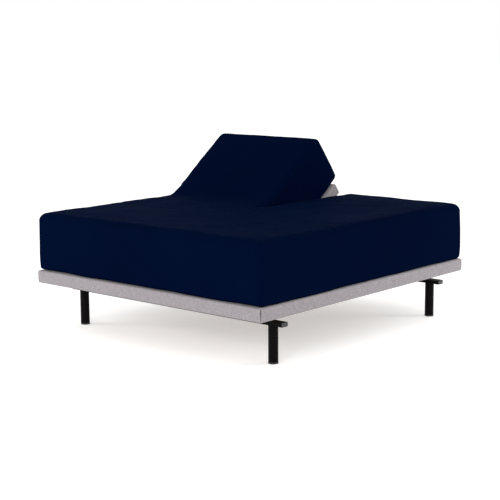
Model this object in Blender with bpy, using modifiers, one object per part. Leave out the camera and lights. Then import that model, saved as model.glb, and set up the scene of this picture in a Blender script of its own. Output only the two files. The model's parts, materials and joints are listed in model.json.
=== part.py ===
"""Adjustable bed base with a split head, carrying its split-head mattress in a fitted sheet.

Four upholstered deck sections (foot, thigh, seat and two half-width head sections) lie on a
welded steel frame with four screw-in legs. Each head half and the thigh section have a lift
frame under them, turned about its hinge by a linear actuator that pushes a slotted lever.
The left head half stands raised, as the bed is at rest here; everything else lies flat.

Frame: metres, +Z up, +Y towards the head, origin on the floor under the middle of the base.
"""

from math import cos, pi, radians, sin, tan

import bmesh
import bpy
from mathutils import Vector

# ---- Overall ----------------------------------------------------------------------------
BASE_WIDTH = 1.830
BASE_LENGTH = 2.030
GAP = 0.0003  # between pieces that touch
HEAD_LEFT_RAISED = 37.0  # degrees, as it stands at rest
HEAD_TRAVEL = 60.0  # degrees, flat to fully up
THIGH_TRAVEL = 35.0

# ---- Deck sections ----------------------------------------------------------------------
HEAD_LENGTH = 0.730
SEAT_LENGTH = 0.330
THIGH_LENGTH = 0.380
DECK_DEPTH = 0.075
DECK_EDGE_RADIUS = 0.010
SECTION_GAP = 0.006  # between neighbouring sections, which a head at its top limit just needs
HEAD_SPLIT = 0.006  # between the two head halves
COVER = 0.003  # upholstery, fabric on thin felt
BOARD = 0.015
SKIRT = 0.018  # side boards under the deck board
HINGE_DEPTH = 0.005  # hinge pins below the deck's top face
HINGE_SLOT = 0.013  # width left for the hinge eyes between two boards
HINGE_SLOT_MARGIN = 0.030  # from a section's side to the slot's end

# ---- Fixed frame ------------------------------------------------------------------------
LEG_HEIGHT = 0.220
LEG_DIAMETER = 0.057
LEG_INSET = 0.135  # leg centre from the base's side
FOOT_LEG_INSET = 0.2655  # leg centre from the foot end
HEAD_LEG_INSET = 0.1745  # leg centre from the head end
GLIDE_HEIGHT = 0.010
GLIDE_LIP = 0.001
GLIDE_EDGE_RADIUS = 0.002
CROSSBAR_WIDTH = 0.050
CROSSBAR_HEIGHT = 0.025
CROSSBAR_INSET = 0.050  # crossbar end from the base's side
CAP_THICKNESS = 0.003
CAP_TONGUE = 0.015
TUBE_WALL = 0.002
RAIL_WIDTH = 0.050
RAIL_HEIGHT = 0.025
RAIL_INSET = 0.225  # rail centre from the base's side
RAIL_FOOT_INSET = 0.175  # rail end from the base's end
RAIL_HEAD_INSET = 0.060
RAIL_TO_DECK = 0.025  # air between the rails and the deck's underside
CROSS_TUBE_WIDTH = 0.050

# ---- Lift frames and hinges -------------------------------------------------------------
LIFT_TUBE = 0.025
LIFT_TUBE_FROM_HINGE = 0.0425
LIFT_ARM_INSET = 0.110  # arm centre from the section's side
HEAD_ARM_END = 0.120  # arm end from the section's far end
WELD_INSET = 0.0006  # a plate welded to a tube sits this far inside the tube's faces
SEAT_BEARER_FROM_HINGE = 0.115
SEAT_POST = 0.024
HINGE_PIN = 0.006
HINGE_PIN_INSET = 0.035  # pin end from its section's side
HINGE_EYE = 0.011
EYE_LENGTH = 0.024
EYE_STEP = 0.002  # between two eyes on one pin
PIN_PLAY = 0.0004  # round a hinge pin in its eye

# ---- Actuators --------------------------------------------------------------------------
LEVER_DEPTH = 0.130  # actuator axis below the hinge axis
LEVER_PLATE = 0.008
LEVER_HALF_WIDTH = 0.020
CLEVIS_PIN = 0.012
SLOT_PLAY = 0.0035
SLOT_STEPS = 20  # corners round a lever's slot
FORK_SIDE_PLAY = 0.001
FORK_CHEEK = 0.009
FORK_THROAT = 0.036  # pin centre to the fork's root
FORK_ROOT = 0.024
FORK_FRONT = 0.012
FORK_HEIGHT = 0.030
FORK_CLEARANCE = 0.005  # from a drawn-in fork to its actuator's tube
ROD_DIAMETER = 0.020
ROD_LENGTH = 0.190
ACTUATOR_TUBE = 0.036
ACTUATOR_TUBE_WALL = 0.005
ACTUATOR_TUBE_LENGTH = 0.300
MOTOR_BLOCK = (0.060, 0.090, 0.056)
MOTOR_MOUNT = 0.020  # between a motor block and the cross tube it hangs from
BRACKET = 0.016
MOTOR_DIAMETER = 0.046
MOTOR_LENGTH = 0.120
MOTOR_INSET = 0.010  # motor's end from its block's far face
HEAD_ACTUATOR_FROM_SPLIT = 0.350

# ---- Foot rest pads ---------------------------------------------------------------------
REST_PAD_DIAMETER = 0.032
REST_PAD_EDGE = 0.002
REST_BAR_FROM_FOOT_END = 0.205  # the foot frame's end bar, which lies on the pads

# ---- Control box ------------------------------------------------------------------------
CONTROL_BOX = (0.110, 0.200, 0.042)
CONTROL_BOX_EDGE_RADIUS = 0.004
CONTROL_BOX_CLEARANCE = 0.020  # from the cross tube beside it
INLET = (0.014, 0.012, 0.010)  # socket for the mains adapter's plug: width, depth, height

# ---- Mattress ---------------------------------------------------------------------------
MATTRESS_DEPTH = 0.360
MATTRESS_INSET = 0.006  # mattress side inside the deck's side
MATTRESS_TOP_RADIUS = 0.045
MATTRESS_SPLIT = 0.020  # between the two head halves
MATTRESS_FOLD_GAP = 0.004  # each side of a fold, at the underside
FOLD_BOTTOM = 0.060  # a fold's wedge starts this far above the underside
RAISED_OVERHANG = 0.086  # how far the bent mattress has slid off its raised head section
SEAT_SIDE_LEAN = 16.0  # degrees, seat block's face at the head fold
HEAD_SIDE_LEAN = 46.0
HIP_SEAT_LEAN = 8.0
HIP_THIGH_LEAN = 28.5

# ---- Worked out from the above ----------------------------------------------------------
HALF_WIDTH = BASE_WIDTH / 2
FOOT_END = -BASE_LENGTH / 2
HEAD_END = BASE_LENGTH / 2
HEAD_HINGE_Y = HEAD_END - HEAD_LENGTH
HIP_Y = HEAD_HINGE_Y - SEAT_LENGTH
KNEE_Y = HIP_Y - THIGH_LENGTH
CROSSBAR_TOP = LEG_HEIGHT + CROSSBAR_HEIGHT
RAIL_BOTTOM = CROSSBAR_TOP + GAP
RAIL_TOP = RAIL_BOTTOM + RAIL_HEIGHT
DECK_BOTTOM = RAIL_TOP + RAIL_TO_DECK
DECK_TOP = DECK_BOTTOM + DECK_DEPTH
HINGE_Z = DECK_TOP - HINGE_DEPTH
KNEE_Z = DECK_BOTTOM
BOARD_TOP = DECK_TOP - COVER - GAP
BOARD_BOTTOM = BOARD_TOP - BOARD
LIFT_TOP = BOARD_BOTTOM - GAP
LIFT_BOTTOM = LIFT_TOP - LIFT_TUBE
RAIL_X = HALF_WIDTH - RAIL_INSET
RAIL_Y = (FOOT_END + RAIL_FOOT_INSET, HEAD_END - RAIL_HEAD_INSET)
LEG_X = HALF_WIDTH - LEG_INSET
CROSSBAR_YS = {"foot": FOOT_END + FOOT_LEG_INSET, "head": HEAD_END - HEAD_LEG_INSET}
MATTRESS_BOTTOM = DECK_TOP + GAP
MATTRESS_TOP = MATTRESS_BOTTOM + MATTRESS_DEPTH
NEXT_EYE = EYE_LENGTH + EYE_STEP
ACTUATOR_Z = HINGE_Z - LEVER_DEPTH
ACTUATOR_REACH = ACTUATOR_TUBE_LENGTH + GAP + MOTOR_BLOCK[1] + MOTOR_MOUNT
HEAD_SWING = radians(HEAD_TRAVEL) / 2
THIGH_SWING = radians(THIGH_TRAVEL) / 2
SIDES = {"left": -1, "right": 1}
FULL_WIDTH = (-HALF_WIDTH, HALF_WIDTH)
HALF_WIDTHS = {
    "left": (-HALF_WIDTH, -HEAD_SPLIT / 2),
    "right": (HEAD_SPLIT / 2, HALF_WIDTH),
}

for old in list(bpy.data.objects):
    bpy.data.objects.remove(old, do_unlink=True)

parts = bpy.data.collections.new("adjustable_bed_base")
cutters = bpy.data.collections.new("cutters")
bpy.context.scene.collection.children.link(parts)
bpy.context.scene.collection.children.link(cutters)


def make_material(name, colour, roughness, metallic=0.0):
    material = bpy.data.materials.new(name)
    material.use_nodes = True
    shader = material.node_tree.nodes["Principled BSDF"]
    shader.inputs["Base Color"].default_value = (*colour, 1.0)
    shader.inputs["Roughness"].default_value = roughness
    shader.inputs["Metallic"].default_value = metallic
    return material


BLACK_STEEL = make_material("black_steel", (0.008, 0.007, 0.008), 0.45, 0.3)
ZINC = make_material("zinc_steel", (0.55, 0.55, 0.56), 0.35, 1.0)
BLACK_PLASTIC = make_material("black_plastic", (0.012, 0.012, 0.013), 0.6)
GREY_PLASTIC = make_material("grey_plastic", (0.05, 0.05, 0.055), 0.55)
UPHOLSTERY = make_material("greige_upholstery", (0.36, 0.33, 0.34), 0.95)
PLYWOOD = make_material("plywood", (0.42, 0.29, 0.17), 0.7)
SHEET = make_material("navy_sheet", (0.0015, 0.003, 0.019), 0.9)


def pivot_at(name, y, z, degrees=0.0, parent=None):
    """An empty on a hinge axis, which carries the pieces that turn about it."""
    empty = bpy.data.objects.new(name, None)
    empty.empty_display_size = 0.1
    parts.objects.link(empty)
    here = Vector((0.0, y, z))
    empty.parent = parent
    empty.location = here - (parent.location if parent else Vector())
    empty.rotation_euler.x = radians(degrees)
    return empty


HEAD_PIVOTS = {
    "left": pivot_at("head_left_pivot", HEAD_HINGE_Y, HINGE_Z, HEAD_LEFT_RAISED),
    "right": pivot_at("head_right_pivot", HEAD_HINGE_Y, HINGE_Z),
}
HIP_PIVOT = pivot_at("hip_pivot", HIP_Y, HINGE_Z)
KNEE_PIVOT = pivot_at("knee_pivot", KNEE_Y, KNEE_Z, parent=HIP_PIVOT)


def origin_of(pivot):
    """Where a pivot stands with the bed flat."""
    here = Vector()
    while pivot:
        here += pivot.location
        pivot = pivot.parent
    return here


def place(obj, centre, material, pivot):
    """Puts the object at its place on the flat bed, carried by its pivot."""
    obj.parent = pivot
    obj.location = Vector(centre) - origin_of(pivot)
    if material:
        obj.data.materials.append(material)
        parts.objects.link(obj)
    else:
        cutters.objects.link(obj)
        obj.hide_render = True
        obj.display_type = "WIRE"
    return obj


def box(name, low, high, material=None, pivot=None):
    """A block between two corners; without a material it is a helper for a Boolean."""
    low, high = Vector(low), Vector(high)
    shape = bmesh.new()
    bmesh.ops.create_cube(shape, size=1.0)
    bmesh.ops.scale(shape, vec=high - low, verts=shape.verts)
    mesh = bpy.data.meshes.new(name)
    shape.to_mesh(mesh)
    shape.free()
    return place(bpy.data.objects.new(name, mesh), (low + high) / 2, material, pivot)


def round_bar(name, start, end, radius, material=None, pivot=None, sides=24, open_ends=False):
    """A cylinder between two points that lie along one axis."""
    start, end = Vector(start), Vector(end)
    shape = bmesh.new()
    bmesh.ops.create_cone(
        shape,
        cap_ends=not open_ends,
        segments=sides,
        radius1=radius,
        radius2=radius,
        depth=(end - start).length,
    )
    turn = Vector((0, 0, 1)).rotation_difference(end - start).to_matrix()
    bmesh.ops.rotate(shape, cent=(0, 0, 0), matrix=turn, verts=shape.verts)
    mesh = bpy.data.meshes.new(name)
    shape.to_mesh(mesh)
    shape.free()
    mesh.shade_smooth()
    mesh.set_sharp_from_angle(angle=radians(35))
    return place(bpy.data.objects.new(name, mesh), (start + end) / 2, material, pivot)


def side_profile(name, outline, x_range, material=None, pivot=None):
    """A flat outline of (y, z) points, as thick as x_range is wide."""
    low, high = x_range
    shape = bmesh.new()
    corners = [shape.verts.new((low, y, z)) for y, z in outline]
    face = shape.faces.new(corners)
    swept = bmesh.ops.extrude_face_region(shape, geom=[face])["geom"]
    moved = [item for item in swept if isinstance(item, bmesh.types.BMVert)]
    bmesh.ops.translate(shape, vec=(high - low, 0, 0), verts=moved)
    bmesh.ops.recalc_face_normals(shape, faces=shape.faces)
    origin = origin_of(pivot)
    bmesh.ops.translate(shape, vec=-origin, verts=shape.verts)
    mesh = bpy.data.meshes.new(name)
    shape.to_mesh(mesh)
    shape.free()
    return place(bpy.data.objects.new(name, mesh), origin, material, pivot)


def add_boolean(obj, other, operation):
    modifier = obj.modifiers.new(f"{operation.lower()}_{other.name}", "BOOLEAN")
    modifier.operation = operation
    modifier.object = other
    modifier.solver = "EXACT"


def cut(obj, *tools):
    for tool in tools:
        add_boolean(obj, tool, "DIFFERENCE")


def weld(obj, *others):
    for other in others:
        add_boolean(obj, other, "UNION")


def round_edges(obj, radius, segments, chosen=None):
    """Rounds the edges for which chosen(direction, middle) is true, or all of them."""
    modifier = obj.modifiers.new("rounded_edges", "BEVEL")
    modifier.width = radius
    modifier.segments = segments
    if chosen is None:
        modifier.limit_method = "ANGLE"
        return
    modifier.limit_method = "WEIGHT"
    weights = obj.data.attributes.new("bevel_weight_edge", "FLOAT", "EDGE")
    for edge in obj.data.edges:
        start, end = (obj.data.vertices[i].co for i in edge.vertices)
        weights.data[edge.index].value = float(chosen((end - start).normalized(), (start + end) / 2))


def square_tube(name, low, high, axis, material):
    """A rectangular tube with open ends along one axis (0 for X, 1 for Y)."""
    obj = box(name, low, high, material)
    shape = bmesh.new()
    shape.from_mesh(obj.data)
    ends = [face for face in shape.faces if abs(face.normal[axis]) > 0.5]
    bmesh.ops.delete(shape, geom=ends, context="FACES_ONLY")
    shape.to_mesh(obj.data)
    shape.free()
    shell = obj.modifiers.new("tube_wall", "SOLIDIFY")
    shell.thickness = TUBE_WALL
    shell.offset = -1.0
    shell.use_even_offset = True
    return obj


# ---- Legs and fixed frame ---------------------------------------------------------------
def build_leg(name, x, y):
    round_bar(
        f"leg_{name}",
        (x, y, GLIDE_HEIGHT + GAP),
        (x, y, LEG_HEIGHT - GAP),
        LEG_DIAMETER / 2,
        BLACK_STEEL,
        sides=40,
    )
    glide = round_bar(
        f"leg_glide_{name}",
        (x, y, 0),
        (x, y, GLIDE_HEIGHT),
        LEG_DIAMETER / 2 + GLIDE_LIP,
        BLACK_PLASTIC,
        sides=40,
    )
    round_edges(glide, GLIDE_EDGE_RADIUS, 2)


def build_crossbar(end, y):
    half = HALF_WIDTH - CROSSBAR_INSET
    tube_end = half - CAP_THICKNESS - GAP
    near, far = y - CROSSBAR_WIDTH / 2, y + CROSSBAR_WIDTH / 2
    low = (-tube_end, near, LEG_HEIGHT)
    square_tube(f"leg_crossbar_{end}", low, (tube_end, far, CROSSBAR_TOP), 0, BLACK_STEEL)
    inside = TUBE_WALL + GAP
    for side, sign in SIDES.items():
        outer, inner = sign * half, sign * (half - CAP_THICKNESS)
        plug_end = sign * (half - CAP_THICKNESS - CAP_TONGUE)
        name = f"crossbar_cap_{end}_{side}"
        cap = box(
            name,
            (min(outer, inner), near, LEG_HEIGHT),
            (max(outer, inner), far, CROSSBAR_TOP),
            BLACK_PLASTIC,
        )
        tongue = box(
            f"{name}_tongue",
            (min(outer, plug_end) + CAP_THICKNESS / 2, near + inside, LEG_HEIGHT + inside),
            (max(outer, plug_end) - CAP_THICKNESS / 2, far - inside, CROSSBAR_TOP - inside),
        )
        weld(cap, tongue)


def build_frame():
    half = RAIL_WIDTH / 2
    for side, sign in SIDES.items():
        x = sign * RAIL_X
        low, high = (x - half, RAIL_Y[0], RAIL_BOTTOM), (x + half, RAIL_Y[1], RAIL_TOP)
        square_tube(f"main_rail_{side}", low, high, 1, BLACK_STEEL)
    inner = RAIL_X - half - GAP
    half = CROSS_TUBE_WIDTH / 2
    places = {
        "foot_end": RAIL_Y[0] + half,
        "head_actuators": head_actuator_front() - ACTUATOR_REACH - half,
        "thigh_actuator": thigh_actuator_front() + ACTUATOR_REACH + half,
        "head_end": RAIL_Y[1] - half,
    }
    for name, y in places.items():
        low, high = (-inner, y - half, RAIL_BOTTOM), (inner, y + half, RAIL_TOP)
        square_tube(f"cross_tube_{name}", low, high, 0, BLACK_STEEL)


# ---- Deck sections ----------------------------------------------------------------------
def section_block(name, x_range, y_range, z_range, radius, closed, material, pivot):
    """A block with rounded top and upright edges; closed says whether (foot end, head end) are."""
    low = (x_range[0], y_range[0], z_range[0])
    high = (x_range[1], y_range[1], z_range[1])
    block = box(name, low, high, material, pivot)

    def outer_edge(direction, middle):
        if middle.z < -GAP:
            return False
        if abs(direction.y) > 0.5:
            return True
        return closed[0] if middle.y < 0 else closed[1]

    round_edges(block, radius, 3, outer_edge)
    return block


def hollowed(name, ranges, wall, top, radius, closed, pivot):
    """A cutter for the space inside a section: open below, and at its hinged ends."""
    (x0, x1), (y0, y1) = ranges
    foot = y0 + wall if closed[0] else y0 - wall
    head = y1 - wall if closed[1] else y1 + wall
    z_range = (DECK_BOTTOM - DECK_DEPTH, top)
    return section_block(name, (x0 + wall, x1 - wall), (foot, head), z_range, radius, closed, None, pivot)


def build_section(name, x_range, y_range, closed, pivot):
    """A deck section: a board with side boards, and the upholstery over both."""
    (x0, x1), (y0, y1) = x_range, y_range
    radius = DECK_EDGE_RADIUS
    z_range = (DECK_BOTTOM, DECK_TOP)
    cover = section_block(
        f"{name}_cover", x_range, y_range, z_range, radius, closed, UPHOLSTERY, pivot
    )
    ranges = (x_range, y_range)
    top = DECK_TOP - COVER
    cut(cover, hollowed(f"{name}_cover_inside", ranges, COVER, top, radius - COVER, closed, pivot))

    skin = COVER + GAP
    board_x = (x0 + skin, x1 - skin)
    board_y = (y0 + skin * closed[0], y1 - skin * closed[1])
    z_range = (DECK_BOTTOM, BOARD_TOP)
    board = section_block(
        f"{name}_board", board_x, board_y, z_range, radius - skin, closed, PLYWOOD, pivot
    )
    ranges = (board_x, board_y)
    cut(board, hollowed(f"{name}_board_inside", ranges, SKIRT, BOARD_BOTTOM, GAP, closed, pivot))
    return cover, board


def hinge_slot(name, x_range, y, pivot):
    """Room for the hinge eyes between two boards, cut from both sides of the joint."""
    low = (x_range[0] + HINGE_SLOT_MARGIN, y - HINGE_SLOT / 2, BOARD_BOTTOM - BOARD)
    high = (x_range[1] - HINGE_SLOT_MARGIN, y + HINGE_SLOT / 2, DECK_TOP + BOARD)
    return box(f"{name}_slot", low, high, pivot=pivot)


def build_deck():
    half_gap = SECTION_GAP / 2
    foot = (FOOT_END, KNEE_Y - half_gap)
    thigh = (KNEE_Y + half_gap, HIP_Y - half_gap)
    seat = (HIP_Y + half_gap, HEAD_HINGE_Y - half_gap)
    head = (HEAD_HINGE_Y + half_gap, HEAD_END)
    build_section("foot", FULL_WIDTH, foot, (True, False), KNEE_PIVOT)
    for piece in build_section("thigh", FULL_WIDTH, thigh, (False, False), HIP_PIVOT):
        cut(piece, hinge_slot(f"{piece.name}_hip", FULL_WIDTH, HIP_Y, HIP_PIVOT))
    for piece in build_section("seat", FULL_WIDTH, seat, (False, False), None):
        cut(piece, hinge_slot(f"{piece.name}_hip", FULL_WIDTH, HIP_Y, None))
        for side, x_range in HALF_WIDTHS.items():
            cut(piece, hinge_slot(f"{piece.name}_head_{side}", x_range, HEAD_HINGE_Y, None))
    for side, x_range in HALF_WIDTHS.items():
        pivot = HEAD_PIVOTS[side]
        for piece in build_section(f"head_{side}", x_range, head, (False, True), pivot):
            cut(piece, hinge_slot(piece.name, x_range, HEAD_HINGE_Y, pivot))


# ---- Hinges -----------------------------------------------------------------------------
def add_eye(frame, name, x, hinge, tube_y, towards, pivot):
    """Welds one hinge eye to a frame, on a flat tab from its tube, and bores it for the pin."""
    y, z = hinge
    half, radius = EYE_LENGTH / 2, HINGE_EYE / 2
    ring = round_bar(f"{name}_ring", (x - half, y, z), (x + half, y, z), radius, pivot=pivot, sides=16)
    bore_radius = HINGE_PIN / 2 + PIN_PLAY
    bore_ends = (x - EYE_LENGTH, y, z), (x + EYE_LENGTH, y, z)
    bore = round_bar(f"{name}_bore", *bore_ends, bore_radius, pivot=pivot, sides=16)
    neck = radius * 0.9
    top, bottom = LIFT_TOP - WELD_INSET, LIFT_BOTTOM + WELD_INSET
    if z > LIFT_TOP:
        tab = [
            (y - towards * neck, z),
            (y + towards * neck, z),
            (y + towards * neck, top),
            (tube_y, top),
            (tube_y, bottom),
            (y + towards * neck * 2, bottom),
            (y - towards * neck, top - LIFT_TUBE / 3),
        ]
    else:
        tab = [
            (y - towards * neck * 0.5, z),
            (y + towards * neck, z),
            (tube_y, bottom),
            (tube_y, top),
            (y + towards * neck, top),
        ]
    arm = side_profile(f"{name}_tab", tab, (x - half, x + half), pivot=pivot)
    weld(frame, arm, ring)
    cut(frame, bore)


def eye_places(x_range, shift=0.0):
    """Where a section's hinge has its eyes: beside each lift arm, or one eye further in."""
    return x_range[0] + LIFT_ARM_INSET + shift, x_range[1] - LIFT_ARM_INSET - shift


def hinge_pin(name, x_range, margin, hinge, pivot):
    start = (x_range[0] + margin, *hinge)
    end = (x_range[1] - margin, *hinge)
    round_bar(name, start, end, HINGE_PIN / 2, ZINC, pivot, sides=16)


# ---- Levers and actuators ---------------------------------------------------------------
def pin_offset(angle, swing):
    """How far past the hinge an actuator's pin is when its section has turned by angle."""
    return LEVER_DEPTH * tan(swing) / swing * (angle - swing)


def head_actuator_front():
    """Where the head actuators' outer tubes end."""
    drawn_in = HEAD_HINGE_Y + pin_offset(0.0, HEAD_SWING)
    return drawn_in - FORK_THROAT - FORK_ROOT - FORK_CLEARANCE


def thigh_actuator_front():
    drawn_in = HIP_Y - pin_offset(0.0, THIGH_SWING)
    return drawn_in + FORK_THROAT + FORK_ROOT + FORK_CLEARANCE


def add_lever(frame, x, hinge_y, towards, swing, pivot):
    """The slotted plate that hangs from a lift frame; the actuator's pin runs in its slot."""
    along = Vector((-towards * sin(swing), -cos(swing)))
    across = Vector((towards * cos(swing), -sin(swing)))
    hinge = Vector((hinge_y, HINGE_Z))
    far = LEVER_DEPTH / cos(swing)
    half = LEVER_HALF_WIDTH
    tip, tip_half = far + half, half * 0.6

    def at(distance, offset):
        return tuple(hinge + along * distance + across * offset)

    top, bottom = LIFT_TOP - WELD_INSET, LIFT_BOTTOM - half / 2
    tube_far = hinge_y + towards * (LIFT_TUBE_FROM_HINGE + LIFT_TUBE / 3)
    outline = [
        at(tip, -tip_half),
        at(tip, tip_half),
        at(far, half),
        at(LEVER_DEPTH, half),
        (tube_far, bottom),
        (tube_far, top),
        (hinge_y + towards * half, top),
        at(LEVER_DEPTH * 0.7, -half),
        at(far, -half),
    ]
    plate_x = (x - LEVER_PLATE / 2, x + LEVER_PLATE / 2)
    plate = side_profile(f"{frame.name}_lever", outline, plate_x, pivot=pivot)
    slot_half = CLEVIS_PIN / 2 + SLOT_PLAY
    slot = []
    for step in range(SLOT_STEPS):
        turn = 2 * pi * (step + 0.5) / SLOT_STEPS
        end = far + SLOT_PLAY if sin(turn) > 0 else LEVER_DEPTH - SLOT_PLAY
        slot.append(at(end + slot_half * sin(turn), slot_half * cos(turn)))
    slot_x = (x - LEVER_PLATE, x + LEVER_PLATE)
    opening = side_profile(f"{frame.name}_lever_slot", slot, slot_x, pivot=pivot)
    weld(frame, plate)
    cut(frame, opening)


def build_actuator(name, x, front, pin_y, push):
    """A linear actuator along Y that pushes towards +Y (push 1) or -Y (push -1)."""
    z = ACTUATOR_Z
    back = front - push * ACTUATOR_TUBE_LENGTH
    radius = ACTUATOR_TUBE / 2
    tube = round_bar(
        f"actuator_tube_{name}", (x, back, z), (x, front, z), radius, GREY_PLASTIC, open_ends=True
    )
    wall = tube.modifiers.new("tube_wall", "SOLIDIFY")
    wall.thickness = ACTUATOR_TUBE_WALL
    wall.offset = -1.0

    width, length, height = MOTOR_BLOCK
    near = back - push * GAP
    far = near - push * length
    motor = box(
        f"actuator_motor_{name}",
        (x - width / 2, min(near, far), z - height / 2),
        (x + width / 2, max(near, far), z + height / 2),
        BLACK_PLASTIC,
    )
    can_x = x + width / 2 + MOTOR_DIAMETER / 3
    can_back = far + push * MOTOR_INSET
    can_ends = (can_x, can_back, z), (can_x, can_back + push * MOTOR_LENGTH, z)
    can = round_bar(f"actuator_motor_{name}_can", *can_ends, MOTOR_DIAMETER / 2)
    mount_end = far - push * (MOTOR_MOUNT + CROSS_TUBE_WIDTH)
    hanger = [
        (far + push * length / 2, z - height / 3),
        (mount_end, z - height / 8),
        (mount_end, RAIL_BOTTOM - GAP),
        (far + push * length / 2, RAIL_BOTTOM - GAP),
    ]
    bracket_x = (x - BRACKET / 2, x + BRACKET / 2)
    weld(motor, can, side_profile(f"actuator_motor_{name}_bracket", hanger, bracket_x))

    slot_half = LEVER_PLATE / 2 + FORK_SIDE_PLAY
    fork_half = slot_half + FORK_CHEEK
    root, tip = pin_y - push * (FORK_THROAT + FORK_ROOT), pin_y + push * FORK_FRONT
    throat, past_tip = pin_y - push * FORK_THROAT, tip + push * FORK_FRONT
    rod_ends = (x, root - push * ROD_LENGTH, z), (x, root + push * FORK_ROOT / 2, z)
    rod = round_bar(f"actuator_rod_{name}", *rod_ends, ROD_DIAMETER / 2, ZINC)
    fork = box(
        f"actuator_rod_{name}_fork",
        (x - fork_half, min(root, tip), z - FORK_HEIGHT / 2),
        (x + fork_half, max(root, tip), z + FORK_HEIGHT / 2),
    )
    opening = box(
        f"actuator_rod_{name}_throat",
        (x - slot_half, min(throat, past_tip), z - FORK_HEIGHT),
        (x + slot_half, max(throat, past_tip), z + FORK_HEIGHT),
    )
    pin_half = fork_half + FORK_SIDE_PLAY
    pin_ends = (x - pin_half, pin_y, z), (x + pin_half, pin_y, z)
    pin = round_bar(f"actuator_rod_{name}_pin", *pin_ends, CLEVIS_PIN / 2, sides=20)
    weld(rod, fork)
    cut(rod, opening)
    weld(rod, pin)


# ---- Lift frames ------------------------------------------------------------------------
def lift_bar(name, x_range, y, material=None, pivot=None):
    """A square tube along X under the boards."""
    half = LIFT_TUBE / 2
    low = (x_range[0] - half, y - half, LIFT_BOTTOM)
    return box(name, low, (x_range[1] + half, y + half, LIFT_TOP), material, pivot)


def build_lift_frame(name, x_range, hinge_y, towards, end_y, has_end_bar, pivot):
    """A tube beside the hinge with two arms under the board, and perhaps a bar across their ends."""
    arms = eye_places(x_range)
    tube_y = hinge_y + towards * LIFT_TUBE_FROM_HINGE
    frame = lift_bar(f"{name}_lift_frame", arms, tube_y, BLACK_STEEL, pivot)
    half = LIFT_TUBE / 2 - WELD_INSET
    for number, x in enumerate(arms):
        low = (x - half, min(tube_y, end_y), LIFT_BOTTOM + WELD_INSET)
        high = (x + half, max(tube_y, end_y), LIFT_TOP - WELD_INSET)
        weld(frame, box(f"{name}_lift_arm_{number}", low, high, pivot=pivot))
    if has_end_bar:
        weld(frame, lift_bar(f"{name}_lift_end_bar", arms, end_y, pivot=pivot))
    return frame


def add_eyes(frame, joint, xs, hinge, tube_y, towards, pivot):
    for number, x in enumerate(xs):
        add_eye(frame, f"{frame.name}_{joint}_eye_{number}", x, hinge, tube_y, towards, pivot)


def build_head_lifts():
    hinge = (HEAD_HINGE_Y, HINGE_Z)
    for side, sign in SIDES.items():
        x_range, pivot = HALF_WIDTHS[side], HEAD_PIVOTS[side]
        end_y = HEAD_END - HEAD_ARM_END
        frame = build_lift_frame(f"head_{side}", x_range, HEAD_HINGE_Y, 1, end_y, True, pivot)
        tube_y = HEAD_HINGE_Y + LIFT_TUBE_FROM_HINGE
        add_eyes(frame, "head", eye_places(x_range), hinge, tube_y, 1, pivot)
        lever_x = sign * HEAD_ACTUATOR_FROM_SPLIT
        add_lever(frame, lever_x, HEAD_HINGE_Y, 1, HEAD_SWING, pivot)
        hinge_pin(f"hinge_pin_head_{side}", x_range, HINGE_PIN_INSET, hinge, None)
        raised = radians(HEAD_LEFT_RAISED) if side == "left" else 0.0
        pin_y = HEAD_HINGE_Y + pin_offset(raised, HEAD_SWING)
        build_actuator(f"head_{side}", lever_x, head_actuator_front(), pin_y, 1)


def build_thigh_lift():
    end_y = KNEE_Y + LIFT_TUBE_FROM_HINGE
    frame = build_lift_frame("thigh", FULL_WIDTH, HIP_Y, -1, end_y, True, HIP_PIVOT)
    hip, knee = (HIP_Y, HINGE_Z), (KNEE_Y, KNEE_Z)
    eyes = eye_places(FULL_WIDTH)
    add_eyes(frame, "hip", eyes, hip, HIP_Y - LIFT_TUBE_FROM_HINGE, -1, HIP_PIVOT)
    add_eyes(frame, "knee", eyes, knee, end_y, 1, HIP_PIVOT)
    add_lever(frame, 0.0, HIP_Y, -1, THIGH_SWING, HIP_PIVOT)
    hinge_pin("hinge_pin_hip", FULL_WIDTH, HINGE_PIN_INSET, hip, None)
    hinge_pin("hinge_pin_knee", FULL_WIDTH, LIFT_ARM_INSET - EYE_LENGTH, knee, HIP_PIVOT)
    pin_y = HIP_Y - pin_offset(0.0, THIGH_SWING)
    build_actuator("thigh", 0.0, thigh_actuator_front(), pin_y, -1)


def build_foot_lift():
    end_y = FOOT_END + REST_BAR_FROM_FOOT_END
    frame = build_lift_frame("foot", FULL_WIDTH, KNEE_Y, -1, end_y, True, KNEE_PIVOT)
    eyes = eye_places(FULL_WIDTH, NEXT_EYE)
    tube_y = KNEE_Y - LIFT_TUBE_FROM_HINGE
    add_eyes(frame, "knee", eyes, (KNEE_Y, KNEE_Z), tube_y, -1, KNEE_PIVOT)
    for side, sign in SIDES.items():
        ends = (sign * RAIL_X, end_y, RAIL_TOP + GAP), (sign * RAIL_X, end_y, LIFT_BOTTOM - GAP)
        pad = round_bar(f"foot_rest_pad_{side}", *ends, REST_PAD_DIAMETER / 2, BLACK_PLASTIC)
        round_edges(pad, REST_PAD_EDGE, 1)


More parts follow.
